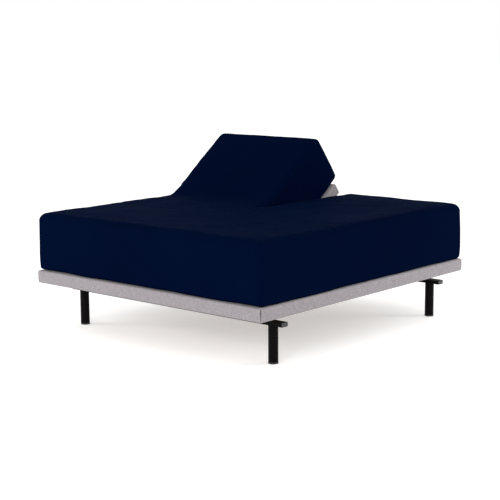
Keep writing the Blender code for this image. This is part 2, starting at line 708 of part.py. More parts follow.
# ---- Seat frame -------------------------------------------------------------------------
def build_seat_frame():
    """The two bearers under the seat section, which stand on the rails and carry its hinges."""
    outer = eye_places(FULL_WIDTH, NEXT_EYE)
    inner = HEAD_SPLIT / 2 + LIFT_ARM_INSET + NEXT_EYE
    joints = (
        ("hip", HIP_Y, 1, outer),
        ("head", HEAD_HINGE_Y, -1, (outer[0], -inner, inner, outer[1])),
    )
    for joint, hinge_y, towards, eyes in joints:
        y = hinge_y + towards * SEAT_BEARER_FROM_HINGE
        bearer = lift_bar(f"seat_bearer_{joint}", eye_places(FULL_WIDTH), y, BLACK_STEEL)
        half = SEAT_POST / 2
        for side, sign in SIDES.items():
            x = sign * RAIL_X
            low = (x - half, y - half, RAIL_TOP + GAP)
            high = (x + half, y + half, LIFT_TOP - WELD_INSET)
            weld(bearer, box(f"seat_bearer_{joint}_post_{side}", low, high))
        add_eyes(bearer, joint, eyes, (hinge_y, HINGE_Z), y, towards, None)


# ---- Control box ------------------------------------------------------------------------
def build_control_box():
    """The electronics, hung beside the right rail, with the mains adapter's inlet at its head end."""
    width, length, height = CONTROL_BOX
    x1 = RAIL_X - RAIL_WIDTH / 2 - GAP
    cross_tube_end = thigh_actuator_front() + ACTUATOR_REACH + CROSS_TUBE_WIDTH
    y1 = cross_tube_end + CONTROL_BOX_CLEARANCE + length
    low = (x1 - width, y1 - length, RAIL_TOP - height)
    case = box("control_box", low, (x1, y1, RAIL_TOP), GREY_PLASTIC)
    round_edges(case, CONTROL_BOX_EDGE_RADIUS, 2)
    across, deep, tall = INLET
    x, z = x1 - width / 2, RAIL_TOP - height / 2
    inlet_low = (x - across / 2, y1 - deep, z - tall / 2)
    inlet_high = (x + across / 2, y1 + deep, z + tall / 2)
    cut(case, box("control_box_inlet", inlet_low, inlet_high))


# ---- Mattress ---------------------------------------------------------------------------
def mattress_block(name, outline, x_range, pivot=None, closed=(False, False)):
    """A mattress block from its side outline, rounded along the top edges that stay exposed."""
    solid = side_profile(name, outline, x_range, SHEET, pivot)
    origin = origin_of(pivot)
    top = MATTRESS_TOP - origin.z
    foot = min(y for y, _ in outline) - origin.y
    head = max(y for y, _ in outline) - origin.y

    def exposed(direction, middle):
        if middle.z < top - GAP:
            return False
        if abs(direction.y) > 0.5:
            return True
        return (closed[0] and middle.y < foot + GAP) or (closed[1] and middle.y > head - GAP)

    round_edges(solid, MATTRESS_TOP_RADIUS, 3, exposed)


def turned(y, z, angle):
    """A point of a head half's side outline, once it has turned about the head hinge."""
    from_y, from_z = y - HEAD_HINGE_Y, z - HINGE_Z
    return (
        HEAD_HINGE_Y + from_y * cos(angle) - from_z * sin(angle),
        HINGE_Z + from_y * sin(angle) + from_z * cos(angle),
    )


def fold_foot(hinge_y, leans):
    """The lowest corner of a fold's wedge, midway between two faces whose leans add up to leans."""
    return hinge_y - FOLD_BOTTOM * tan(radians(leans / 2)), MATTRESS_BOTTOM + FOLD_BOTTOM


def build_mattress():
    """Blocks on the deck sections, with a wedge of bending foam at each fold that closes."""
    half = HALF_WIDTH - MATTRESS_INSET
    full = (-half, half)
    halves = {"left": (-half, -MATTRESS_SPLIT / 2), "right": (MATTRESS_SPLIT / 2, half)}
    foot_end, head_end = FOOT_END + MATTRESS_INSET, HEAD_END - MATTRESS_INSET
    low, high, gap = MATTRESS_BOTTOM, MATTRESS_TOP, MATTRESS_FOLD_GAP

    def lean(degrees):
        return gap + MATTRESS_DEPTH * tan(radians(degrees))

    hip_top, seat_foot_top = HIP_Y - lean(HIP_THIGH_LEAN), HIP_Y + lean(HIP_SEAT_LEAN)
    seat_head_top = HEAD_HINGE_Y - lean(SEAT_SIDE_LEAN)
    head_top = HEAD_HINGE_Y + lean(HEAD_SIDE_LEAN)
    foot = [(foot_end, low), (KNEE_Y - gap, low), (KNEE_Y - gap, high), (foot_end, high)]
    mattress_block("mattress_foot", foot, full, KNEE_PIVOT, (True, False))
    thigh = [(KNEE_Y + gap, low), (HIP_Y - gap, low), (hip_top, high), (KNEE_Y + gap, high)]
    mattress_block("mattress_thigh", thigh, full, HIP_PIVOT)
    seat_bottom = [(HIP_Y + gap, low), (HEAD_HINGE_Y - gap, low)]
    seat = seat_bottom + [(seat_head_top, high), (seat_foot_top, high)]
    mattress_block("mattress_seat", seat, full)

    inset = MATTRESS_TOP_RADIUS / 3
    fold_full = (full[0] + inset, full[1] - inset)
    hip_fold = [
        fold_foot(HIP_Y, HIP_THIGH_LEAN - HIP_SEAT_LEAN),
        (seat_foot_top - gap, high - gap),
        (hip_top + gap, high - gap),
    ]
    side_profile("mattress_fold_hip", hip_fold, fold_full, SHEET)
    for side, x_range in halves.items():
        raised = side == "left"
        end = head_end + RAISED_OVERHANG * raised
        head = [(HEAD_HINGE_Y + gap, low), (end, low), (end, high), (head_top, high)]
        mattress_block(f"mattress_head_{side}", head, x_range, HEAD_PIVOTS[side], (False, True))
        degrees = HEAD_LEFT_RAISED * raised
        fold_x = (x_range[0] + inset, x_range[1] - inset)
        fold = [
            fold_foot(HEAD_HINGE_Y, SEAT_SIDE_LEAN + degrees - HEAD_SIDE_LEAN),
            turned(head_top - 2 * gap, high - gap, radians(degrees)),
            (seat_head_top + gap, high - gap),
        ]
        side_profile(f"mattress_fold_head_{side}", fold, fold_x, SHEET)


for end_name, crossbar_y in CROSSBAR_YS.items():
    build_crossbar(end_name, crossbar_y)
    for side_name, side_sign in SIDES.items():
        build_leg(f"{end_name}_{side_name}", side_sign * LEG_X, crossbar_y)
build_frame()
build_seat_frame()
build_deck()
build_head_lifts()
build_thigh_lift()
build_foot_lift()
build_control_box()
build_mattress()
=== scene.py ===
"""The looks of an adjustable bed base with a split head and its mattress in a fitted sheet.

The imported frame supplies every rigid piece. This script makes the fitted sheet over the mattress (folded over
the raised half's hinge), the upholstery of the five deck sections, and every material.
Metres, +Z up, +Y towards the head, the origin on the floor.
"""

import json
from math import cos, pi, radians, sin, tan

import bpy
import numpy as np
from mathutils import Matrix, Vector


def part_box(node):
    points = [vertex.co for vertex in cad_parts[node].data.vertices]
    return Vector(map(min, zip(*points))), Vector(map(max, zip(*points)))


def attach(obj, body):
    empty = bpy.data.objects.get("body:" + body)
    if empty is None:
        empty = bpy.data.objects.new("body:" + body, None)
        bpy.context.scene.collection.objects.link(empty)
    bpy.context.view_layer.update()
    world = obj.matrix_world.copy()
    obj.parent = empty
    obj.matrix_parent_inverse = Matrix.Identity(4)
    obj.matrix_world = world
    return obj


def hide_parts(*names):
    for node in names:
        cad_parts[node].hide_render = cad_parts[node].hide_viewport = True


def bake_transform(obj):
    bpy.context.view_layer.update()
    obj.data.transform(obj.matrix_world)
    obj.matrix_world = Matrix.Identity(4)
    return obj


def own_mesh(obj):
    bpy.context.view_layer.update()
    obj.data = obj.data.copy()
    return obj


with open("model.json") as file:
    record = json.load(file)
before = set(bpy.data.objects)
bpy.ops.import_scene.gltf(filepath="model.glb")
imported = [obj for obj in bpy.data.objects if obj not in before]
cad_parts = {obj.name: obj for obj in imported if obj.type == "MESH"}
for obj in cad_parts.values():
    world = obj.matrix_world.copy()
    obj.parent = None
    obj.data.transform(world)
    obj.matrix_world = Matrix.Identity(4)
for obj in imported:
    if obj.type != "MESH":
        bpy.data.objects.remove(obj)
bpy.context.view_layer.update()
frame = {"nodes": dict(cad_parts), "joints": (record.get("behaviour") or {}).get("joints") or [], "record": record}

# ---- Where the hinges and the soft pieces are, from the frame ----------------------------
joints = {joint["name"]: joint for joint in frame["joints"]}
HEAD_Y, HINGE_Z = joints["head_left_lift"]["pos_m"][1:]
HIP_Y = joints["thigh_lift"]["pos_m"][1]
RAISED = radians(-joints["head_left_lift"]["range_deg"][0])  # at rest, above lying flat
FOOT_LO, FOOT_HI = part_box("mattress_foot")
RIGHT_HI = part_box("mattress_head_right")[1]
HALF = FOOT_HI.x  # mattress side from the middle
FOOT_END, HEAD_END = FOOT_LO.y, RIGHT_HI.y
BOTTOM, TOP = FOOT_LO.z, FOOT_HI.z
DEPTH = TOP - BOTTOM
LIFT = BOTTOM - HINGE_Z  # mattress underside above the hinge line

# ---- Fitted sheet ------------------------------------------------------------------------
TOP_RADIUS = 0.045
BOTTOM_RADIUS = 0.030
END_RADIUS = 0.045
CORNER_SHARE = 0.68  # of an end ring's inset, taken at each side
BULGE = 0.008  # the foam's sides stand out this much at half height
CROWN = 0.005  # and its top
FOLD_SWELL = 0.006  # foam squeezed up where the raised half bends
SPLIT_HALF = 0.010  # the two head halves' inner sides from the middle
RAISED_SPLIT = 0.026  # the raised half has pulled away a little more
SPLIT_START_RADIUS = 0.007
RAISED_LENGTH = 0.800  # raised half, from the hinge up its slope
SPLIT_Y = HEAD_Y - 0.2725  # where the two head halves begin
KNEE_CUT_Y = HIP_Y - 0.285
FOLD_RADIUS = 0.14
SLOPE_CUT = 0.262  # from the hinge up the slope
FOLD_STEPS = 36  # sections along that fold
CREASE_RADIUS = 0.02  # the fold's bend at the mattress's underside
ARC = 8  # segments in a quarter turn
GRID = 0.0145
SIDE_BAND = 0.06  # the bulge fades out this far inside the mattress's side
CROWN_BAND = 0.14  # and the crown reaches its full height this far inside
LOW_SHARE = 0.6  # of an end ring's inset, taken at the underside
LEAST_RADIUS = 0.006  # an edge's, where the end rounds it away
SPLIT_START_HALF = 0.0006  # inner side from the middle, where the halves part
SPLIT_RADIUS = 0.038  # the inner sides' edges


def ring(x0, x1, h0, h1, radii, across, up):
    """Rounded rectangle, anticlockwise from the middle of its lower left corner."""
    centres = [
        (x0 + radii[0], h0 + radii[0]),
        (x1 - radii[1], h0 + radii[1]),
        (x1 - radii[2], h1 - radii[2]),
        (x0 + radii[3], h1 - radii[3]),
    ]
    half = ARC // 2
    points = []
    for side in range(4):
        a, b = centres[side], centres[(side + 1) % 4]
        ra, rb = radii[side], radii[(side + 1) % 4]
        turn = -pi / 2 + side * pi / 2
        for i in range(half):
            angle = turn - pi / 4 + pi / 4 * i / half
            points.append((a[0] + ra * cos(angle), a[1] + ra * sin(angle)))
        start = np.array((a[0] + ra * cos(turn), a[1] + ra * sin(turn)))
        end = np.array((b[0] + rb * cos(turn), b[1] + rb * sin(turn)))
        count = (across, up)[side % 2]
        for i in range(count):
            points.append(tuple(start + (end - start) * i / count))
        for i in range(half):
            angle = turn + pi / 4 * i / half
            points.append((b[0] + rb * cos(angle), b[1] + rb * sin(angle)))
    return np.array(points)


def cap_grid(border, bottom, side):
    """Points and rows of indices of a net that fills a ring, from its four sides."""
    count = len(border)
    low = list(range(bottom + 1))
    right = [bottom + j for j in range(side + 1)]
    high = [bottom + side + bottom - i for i in range(bottom + 1)]
    left = [(count - j) % count for j in range(side + 1)]
    rows, inner = [], []
    for i in range(bottom + 1):
        row = []
        for j in range(side + 1):
            if i in (0, bottom) or j in (0, side):
                row.append(("edge", left[j] if i == 0 else right[j] if i == bottom else
                            low[i] if j == 0 else high[i]))
                continue
            s, t = i / bottom, j / side
            point = (1 - t) * border[low[i]] + t * border[high[i]]
            point = point + (1 - s) * border[left[j]] + s * border[right[j]]
            point = point - (1 - s) * (1 - t) * border[low[0]] - s * (1 - t) * border[low[-1]]
            point = point - (1 - s) * t * border[high[0]] - s * t * border[high[-1]]
            row.append(("new", len(inner)))
            inner.append(point)
        rows.append(row)
    return inner, rows


def loft(name, stations, across, up, cuts=(False, False)):
    """A closed solid through the rings, with netted ends. A cut end meets its neighbour's."""
    stations = np.array(stations)
    count, size = stations.shape[:2]
    points = [tuple(p) for p in stations.reshape(-1, 3)]
    middle = stations[count // 2]
    around = np.concatenate([[0], np.cumsum(np.linalg.norm(
        np.roll(middle, -1, axis=0) - middle, axis=1))])
    along = np.concatenate([[0], np.cumsum(np.linalg.norm(
        np.diff(stations, axis=0), axis=2).mean(axis=1))])
    faces, coords = [], []
    for j in range(count - 1):
        for i in range(size):
            n = (i + 1) % size
            faces.append((j * size + i, (j + 1) * size + i, (j + 1) * size + n, j * size + n))
            u0, u1 = around[i], around[i + 1]
            coords += [(u0, along[j]), (u0, along[j + 1]), (u1, along[j + 1]), (u1, along[j])]
    for end in (0, 1):
        border = stations[-end]
        first = (count - 1) * size if end else 0
        inner, rows = cap_grid(border, across + ARC, up + ARC)
        base = len(points)
        points += [tuple(p) for p in inner]
        found = [[first + k if kind == "edge" else base + k for kind, k in row] for row in rows]
        for i in range(len(found) - 1):
            for j in range(len(found[0]) - 1):
                quad = (found[i][j], found[i + 1][j], found[i + 1][j + 1], found[i][j + 1])
                quad = quad if end == 0 else quad[::-1]
                faces.append(quad)
                for k in quad:
                    p = points[k]
                    coords.append((p[0], p[2] + 0.3 * p[1]))
    mesh = bpy.data.meshes.new(name)
    mesh.from_pydata(points, [], faces)
    layer = mesh.uv_layers.new(name="cloth")
    layer.data.foreach_set("uv", np.array(coords, np.float32).ravel())
    mesh.polygons.foreach_set("use_smooth", [True] * len(mesh.polygons))
    borders = set()
    for end, cut in enumerate(cuts):
        if cut:
            first = (count - 1) * size if end else 0
            borders |= {frozenset((first + i, first + (i + 1) % size)) for i in range(size)}
    if borders:
        for edge in mesh.edges:
            if frozenset(edge.vertices) in borders:
                edge.use_edge_sharp = True
    mesh.validate()
    piece = bpy.data.objects.new(name, mesh)
    bpy.context.scene.collection.objects.link(piece)
    bpy.context.view_layer.update()
    return piece


random = np.random.default_rng(7)
WAVES = []
for size, amount in ((0.62, 0.0016), (0.37, 0.0012), (0.21, 0.0007), (0.11, 0.00035)):
    for _ in range(4):
        direction = random.normal(size=3)
        direction *= 2 * pi / (size * random.uniform(0.8, 1.25)) / np.linalg.norm(direction)
        WAVES.append((direction, random.uniform(0, 2 * pi), amount / 1.6))


def fullness(h):
    """How far the foam's sides stand out, h above its underside."""
    return BULGE * sin(pi * min(1.0, max(0.0, h / DEPTH))) ** 0.7


def swelled(points):
    """A section's points with its outer sides standing out and its top crowned."""
    result = []
    for x, h in points:
        inside = HALF - abs(x)
        side = max(0.0, 1 - inside / SIDE_BAND)
        edge = 1 - (1 - min(1.0, max(0.0, inside / CROWN_BAND))) ** 2
        crown = CROWN * edge * max(0.0, 2 * h / DEPTH - 1)
        result.append((x + np.sign(x) * side * fullness(h), h + crown))
    return np.array(result)


def soften(piece, fade):
    """Moves the surface in and out a little, as a sheet lies on foam. Fade is 0 at a cut."""
    mesh = piece.data
    count = len(mesh.vertices)
    points = np.empty(count * 3, np.float32)
    mesh.vertices.foreach_get("co", points)
    points = points.reshape(-1, 3).astype(float)
    normals = np.empty(count * 3, np.float32)
    mesh.vertices.foreach_get("normal", normals)
    normals = normals.reshape(-1, 3)
    wave = sum(amount * np.sin(points @ d + phase) for d, phase, amount in WAVES)
    moved = points + normals * (fade(points) * wave)[:, None]
    mesh.vertices.foreach_set("co", moved.astype(np.float32).ravel())
    mesh.update()


def near(values, places, width=0.03):
    """0 at each place, rising to 1 a width away from it."""
    result = np.ones(len(values))
    for place in places:
        t = np.clip(np.abs(values - place) / width, 0, 1)
        result *= t * t * (3 - 2 * t)
    return result


def end_rings(end, direction):
    """(place, inset) of the rings that round a mattress end, from its sides to its end face."""
    rows = []
    for i in range(ARC + 1):
        angle = pi / 2 * i / ARC
        rows.append((end - direction * END_RADIUS * (1 - sin(angle)),
                     END_RADIUS * (1 - cos(angle))))
    return rows


def inset_ring(x0, x1, inset, across, up, inner_left=None, inner_right=None):
    """The mattress's section drawn in by an inset. Inner radii are for the split's sides."""
    left = TOP_RADIUS if inner_left is None else inner_left
    right = TOP_RADIUS if inner_right is None else inner_right
    low_left = BOTTOM_RADIUS if inner_left is None else min(inner_left, BOTTOM_RADIUS)
    low_right = BOTTOM_RADIUS if inner_right is None else min(inner_right, BOTTOM_RADIUS)
    radii = [max(r - inset, LEAST_RADIUS) for r in (low_left, low_right, right, left)]
    aside, low = CORNER_SHARE * inset, LOW_SHARE * inset
    return swelled(ring(x0 + aside, x1 - aside, low, DEPTH - inset, radii, across, up))


def straight(a, b):
    """Places from a to b, a grid step apart."""
    return list(np.linspace(a, b, max(2, round(abs(b - a) / GRID) + 1)))


def flat(points, y, push=0.0):
    """The ring standing across the bed. Push is how much of the end face's fullness it takes."""
    return np.array([(x, y + push * fullness(h), BOTTOM + h) for x, h in points])


ACROSS = round(2 * HALF / GRID / 1.15)
ACROSS_HALF = ACROSS // 2
UP = 20
SPLIT_RUN = 0.13  # the split's edges reach their full radius this far from its start


def opened(distance, full):
    """(inner side from the middle, its edge radius) this far behind the start of the split."""
    t = min(1, max(0, distance / SPLIT_RUN))
    t = t * t * (3 - 2 * t)
    return (SPLIT_START_HALF + (full - SPLIT_START_HALF) * t,
            SPLIT_START_RADIUS + (SPLIT_RADIUS - SPLIT_START_RADIUS) * t)


# Foot piece: over the foot section, up to a cut near the knee.
stations = [flat(inset_ring(-HALF, HALF, inset, ACROSS, UP), y, -inset / END_RADIUS)
            for y, inset in reversed(end_rings(FOOT_END, -1))]
stations += [flat(inset_ring(-HALF, HALF, 0, ACROSS, UP), y)
             for y in straight(FOOT_END + END_RADIUS, KNEE_CUT_Y)[1:]]
sheet_foot = loft("sheet_foot", stations, ACROSS, UP, (False, True))
soften(sheet_foot, lambda p: near(p[:, 1], [KNEE_CUT_Y]))

# Middle piece: over the seat and thigh.
stations = [flat(inset_ring(-HALF, HALF, 0, ACROSS, UP), y)
            for y in straight(KNEE_CUT_Y, SPLIT_Y)]
sheet_middle = loft("sheet_middle", stations, ACROSS, UP, (True, True))
soften(sheet_middle, lambda p: near(p[:, 1], [KNEE_CUT_Y, SPLIT_Y]))

# Right head half, lying flat.
stations = []
for y in straight(SPLIT_Y, HEAD_END - END_RADIUS):
    side, radius = opened(y - SPLIT_Y, SPLIT_HALF)
    stations.append(flat(inset_ring(side, HALF, 0, ACROSS_HALF, UP, inner_left=radius), y))
stations += [flat(inset_ring(SPLIT_HALF, HALF, inset, ACROSS_HALF, UP, inner_left=SPLIT_RADIUS), y,
                  inset / END_RADIUS)
             for y, inset in end_rings(HEAD_END, 1)[1:]]
sheet_right = loft("sheet_head_right", stations, ACROSS_HALF, UP, (True, False))
soften(sheet_right, lambda p: near(p[:, 1], [SPLIT_Y]))


def fold_path(h, share):
    """(y, z) this share of the way along the raised half's fold, h above its underside."""
    above = h + LIFT + FOLD_SWELL * h / DEPTH * sin(pi * share) ** 2
    radius = CREASE_RADIUS + (FOLD_RADIUS - CREASE_RADIUS) * max(0.0, h / DEPTH)
    crease = above * tan(RAISED / 2)
    tangent = radius * tan(RAISED / 2)
    first = HEAD_Y - crease - tangent - SPLIT_Y
    last = SLOPE_CUT - crease - tangent
    place = share * (first + radius * RAISED + last)
    z = HINGE_Z + above
    if place <= first:
        return SPLIT_Y + place, z
    if place <= first + radius * RAISED:
        angle = (place - first) / radius
        return SPLIT_Y + first + radius * sin(angle), z + radius * (1 - cos(angle))
    return slope_point(crease + tangent + place - first - radius * RAISED, above - LIFT)


def slope_point(s, h):
    """(y, z) of a point s up the raised half's slope and h above its underside."""
    above = h + LIFT
    return (HEAD_Y + s * cos(RAISED) - above * sin(RAISED),
            HINGE_Z + s * sin(RAISED) + above * cos(RAISED))


def on_slope(points, s, push=0.0):
    """The ring standing across the raised half, s up its slope. Push is as for flat."""
    return np.array([(x, *slope_point(s + push * fullness(h), h)) for x, h in points])


# Left head half, raised: its fold, then the block up the slope.
stations = []
for i in range(FOLD_STEPS + 1):
    share = i / FOLD_STEPS
    side, radius = opened(share * 0.5, RAISED_SPLIT)
    points = inset_ring(-HALF, -side, 0, ACROSS_HALF, UP, inner_right=radius)
    stations.append(np.array([(x, *fold_path(h, share)) for x, h in points]))
sheet_fold = loft("sheet_fold_left", stations, ACROSS_HALF, UP, (True, True))
up_slope = np.array((0, cos(RAISED), sin(RAISED)))
hinge = np.array((0, HEAD_Y, HINGE_Z))
soften(sheet_fold, lambda p: (near(p[:, 1], [SPLIT_Y])
                              * near((p - hinge) @ up_slope, [SLOPE_CUT])))

stations = [on_slope(inset_ring(-HALF, -RAISED_SPLIT, 0, ACROSS_HALF, UP, inner_right=SPLIT_RADIUS), s)
            for s in straight(SLOPE_CUT, RAISED_LENGTH - END_RADIUS)]
stations += [on_slope(
    inset_ring(-HALF, -RAISED_SPLIT, inset, ACROSS_HALF, UP, inner_right=SPLIT_RADIUS), s,
    inset / END_RADIUS)
    for s, inset in end_rings(RAISED_LENGTH, 1)[1:]]
sheet_left = loft("sheet_head_left", stations, ACROSS_HALF, UP, (True, False))
soften(sheet_left, lambda p: near((p - hinge) @ up_slope, [SLOPE_CUT]))


# ---- Upholstered deck sections -----------------------------------------------------------
EDGE = 0.010  # outer edges
CORNER = 0.012
JOIN = 0.0025  # a section's cover reaches this far into the gap to its neighbour
CLOTH = 0.0028
HEM = 0.022  # turned under the side boards
UNDER = 0.0022  # the hem's thickness below them
LOW_EDGE = 0.006  # outer edge at the hem
HINGE_RECESS = 0.0053  # a joined end is set back this much along its hinge
LEVER_OPENING = 0.85  # share of the seat cover's ends left open, where the levers swing
HINGE_MARGIN = (0.035, 0.065)  # from the section's side to where the recess starts and is full


TURN = (Matrix.Translation((0, HEAD_Y, HINGE_Z)) @ Matrix.Rotation(RAISED, 4, "X")
        @ Matrix.Translation((0, -HEAD_Y, -HINGE_Z)))


def cover_rings(x0, x1, y0, y1, z0, z1, joined, rise):
    """Rings from the top face's edge, down the sides, round the hem and up inside.
    Joined is a pair for the foot-side and head-side ends: True where a neighbour meets it.
    Rise is the share of a joined end's height that is left open between its margins."""
    low = z0 - UNDER
    rows = [(EDGE * (1 - cos(a)), z1 - EDGE * (1 - sin(a)))
            for a in np.linspace(pi / 2, 0, ARC + 1)]
    rows += [(0.0, z) for z in np.linspace(z1 - EDGE, low + LOW_EDGE, 7)[1:-1]]
    rows += [(LOW_EDGE * (1 - cos(a)), low + LOW_EDGE * (1 - sin(a)))
             for a in np.linspace(0, pi / 2, ARC + 1)]
    rows += [(0.5 * (EDGE + HEM), low), (HEM, low), (HEM, low + 0.5 * CLOTH),
             (HEM - 0.004, low + CLOTH), (CLOTH + 0.001, low + CLOTH)]
    rows += [(CLOTH, z) for z in np.linspace(low + CLOTH + 0.001, z1 - CLOTH, 4)]
    across, along = max(8, round((x1 - x0) / 0.03)), max(6, round((y1 - y0) / 0.03))
    stations = []
    for inset, z in rows:
        ends = [0.5 * inset if j and inset <= EDGE else inset for j in joined]
        radii = [max((0.002 if j else CORNER) - inset, 0.0015)
                 for j in (joined[0], joined[0], joined[1], joined[1])]
        points = ring(x0 + inset, x1 - inset, y0 + ends[0], y1 - ends[1], radii, across, along)
        aside = np.minimum(points[:, 0] - x0, x1 - points[:, 0])
        depth = np.clip((aside - HINGE_MARGIN[0]) / (HINGE_MARGIN[1] - HINGE_MARGIN[0]), 0, 1)
        heights = np.full(len(points), z)
        for end, y, way in ((0, y0 + ends[0], 1), (1, y1 - ends[1], -1)):
            if joined[end]:
                close = np.abs(points[:, 1] - y) < 0.004
                points[:, 1] += way * HINGE_RECESS * depth * close
                heights += rise * (z1 - z) * depth * close
        stations.append(np.column_stack([points, heights]))
    return stations, across, along


def cover(name, node, body, x0, x1, y0, y1, joined, raised=False, rise=0.0):
    """One section's upholstery, in place of its CAD cover."""
    lo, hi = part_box("foot_cover")
    stations, across, along = cover_rings(x0, x1, y0, y1, lo.z, hi.z, joined, rise)
    piece = loft(name, stations, across, along)
    if raised:
        piece.data.transform(TURN)
    bpy.context.view_layer.update()
    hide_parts(node)
    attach(piece, body)
    return piece


def span(node, low, high):
    """A cover's y range, a little past its CAD box at each end that meets a neighbour."""
    lo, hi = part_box(node)
    return lo.y - (JOIN if low else 0), hi.y + (JOIN if high else 0)


deck_lo, deck_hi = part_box("seat_cover")
right_lo, right_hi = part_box("head_right_cover")
covers = {
    "foot": cover("upholstery_foot", "foot_cover", "foot", deck_lo.x, deck_hi.x,
                  *span("foot_cover", False, True), (False, True)),
    "thigh": cover("upholstery_thigh", "thigh_cover", "thigh", deck_lo.x, deck_hi.x,
                   *span("thigh_cover", True, True), (True, True)),
    "seat": cover("upholstery_seat", "seat_cover", "root", deck_lo.x, deck_hi.x,
                  *span("seat_cover", True, True), (True, True), rise=LEVER_OPENING),
    "head_right": cover("upholstery_head_right", "head_right_cover", "head_right",
                        right_lo.x, right_hi.x, *span("head_right_cover", True, False),
                        (True, False)),
    "head_left": cover("upholstery_head_left", "head_left_cover", "head_left",
                       -right_hi.x, -right_lo.x, *span("head_right_cover", True, False),
                       (True, False), raised=True),
}


SEAM_RINGS = 15
SEAM_SIDE = 8  # points across the dart's outer side, and as many inside
SEAM_HALF = 0.0042  # half the dart's width at the top
SEAM_PROUD = 0.0011  # it stands out this much
SEAM_DEEP = 0.0022  # and reaches this far in


def corner_seam(name, body, x, y, z0, z1, raised=False):
    """A sewn corner dart: a narrow tapering strip that follows the cover's rounded corner. Its dark finish is
    painted shade.
    """
    centre = (x - np.sign(x) * CORNER, y - np.sign(y) * CORNER)
    middle = np.arctan2(np.sign(y), np.sign(x))
    stations = []
    for i in range(SEAM_RINGS):
        t = i / (SEAM_RINGS - 1)
        half_angle = (SEAM_HALF * (1 - 0.65 * t) * min(1, 6 * t + 0.35)) / CORNER
        z = z1 - EDGE * 0.55 - (z1 - z0 - EDGE * 1.3) * t
        lift = min(1, 5 * t, 5 * (1 - t))
        points = []
        for k in range(SEAM_SIDE):
            turn = k / (SEAM_SIDE - 1) * 2 - 1
            radius = CORNER + 0.0001 + SEAM_PROUD * lift * (1 - turn * turn) ** 0.5
            angle = middle + half_angle * turn
            points.append((centre[0] + radius * cos(angle), centre[1] + radius * sin(angle), z))
        for k in range(SEAM_SIDE):
            angle = middle + half_angle * (1 - k / (SEAM_SIDE - 1) * 2)
            radius = CORNER - SEAM_DEEP
            points.append((centre[0] + radius * cos(angle), centre[1] + radius * sin(angle), z))
        stations.append(points)
    count, size = len(stations), 2 * SEAM_SIDE
    points = [p for ring_points in stations for p in ring_points]
    faces = [(j * size + i, j * size + (i + 1) % size, (j + 1) * size + (i + 1) % size,
              (j + 1) * size + i) for j in range(count - 1) for i in range(size)]
    faces += [tuple(range(size))[::-1], tuple((count - 1) * size + i for i in range(size))]
    mesh = bpy.data.meshes.new(name)
    mesh.from_pydata(points, [], faces)
    layer = mesh.uv_layers.new(name="cloth")
    layer.data.foreach_set("uv", np.array(
        [(points[v.vertex_index][0], points[v.vertex_index][2]) for v in mesh.loops],
        np.float32).ravel())
    mesh.polygons.foreach_set("use_smooth", [True] * len(mesh.polygons))
    seam = bpy.data.objects.new(name, mesh)
    bpy.context.scene.collection.objects.link(seam)
    if raised:
        mesh.transform(TURN)
    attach(seam, body)
    return seam


foot_lo, foot_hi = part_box("foot_cover")
seams = [
    corner_seam(f"seam_{end}_{side}", body, x, y, foot_lo.z, foot_hi.z, raised)
    for end, side, body, x, y, raised in (
        ("foot", "right", "foot", deck_hi.x, foot_lo.y, False),
        ("foot", "left", "foot", deck_lo.x, foot_lo.y, False),
        ("head", "right", "head_right", deck_hi.x, right_hi.y, False),
        ("head", "left", "head_left", deck_lo.x, right_hi.y, True))
]


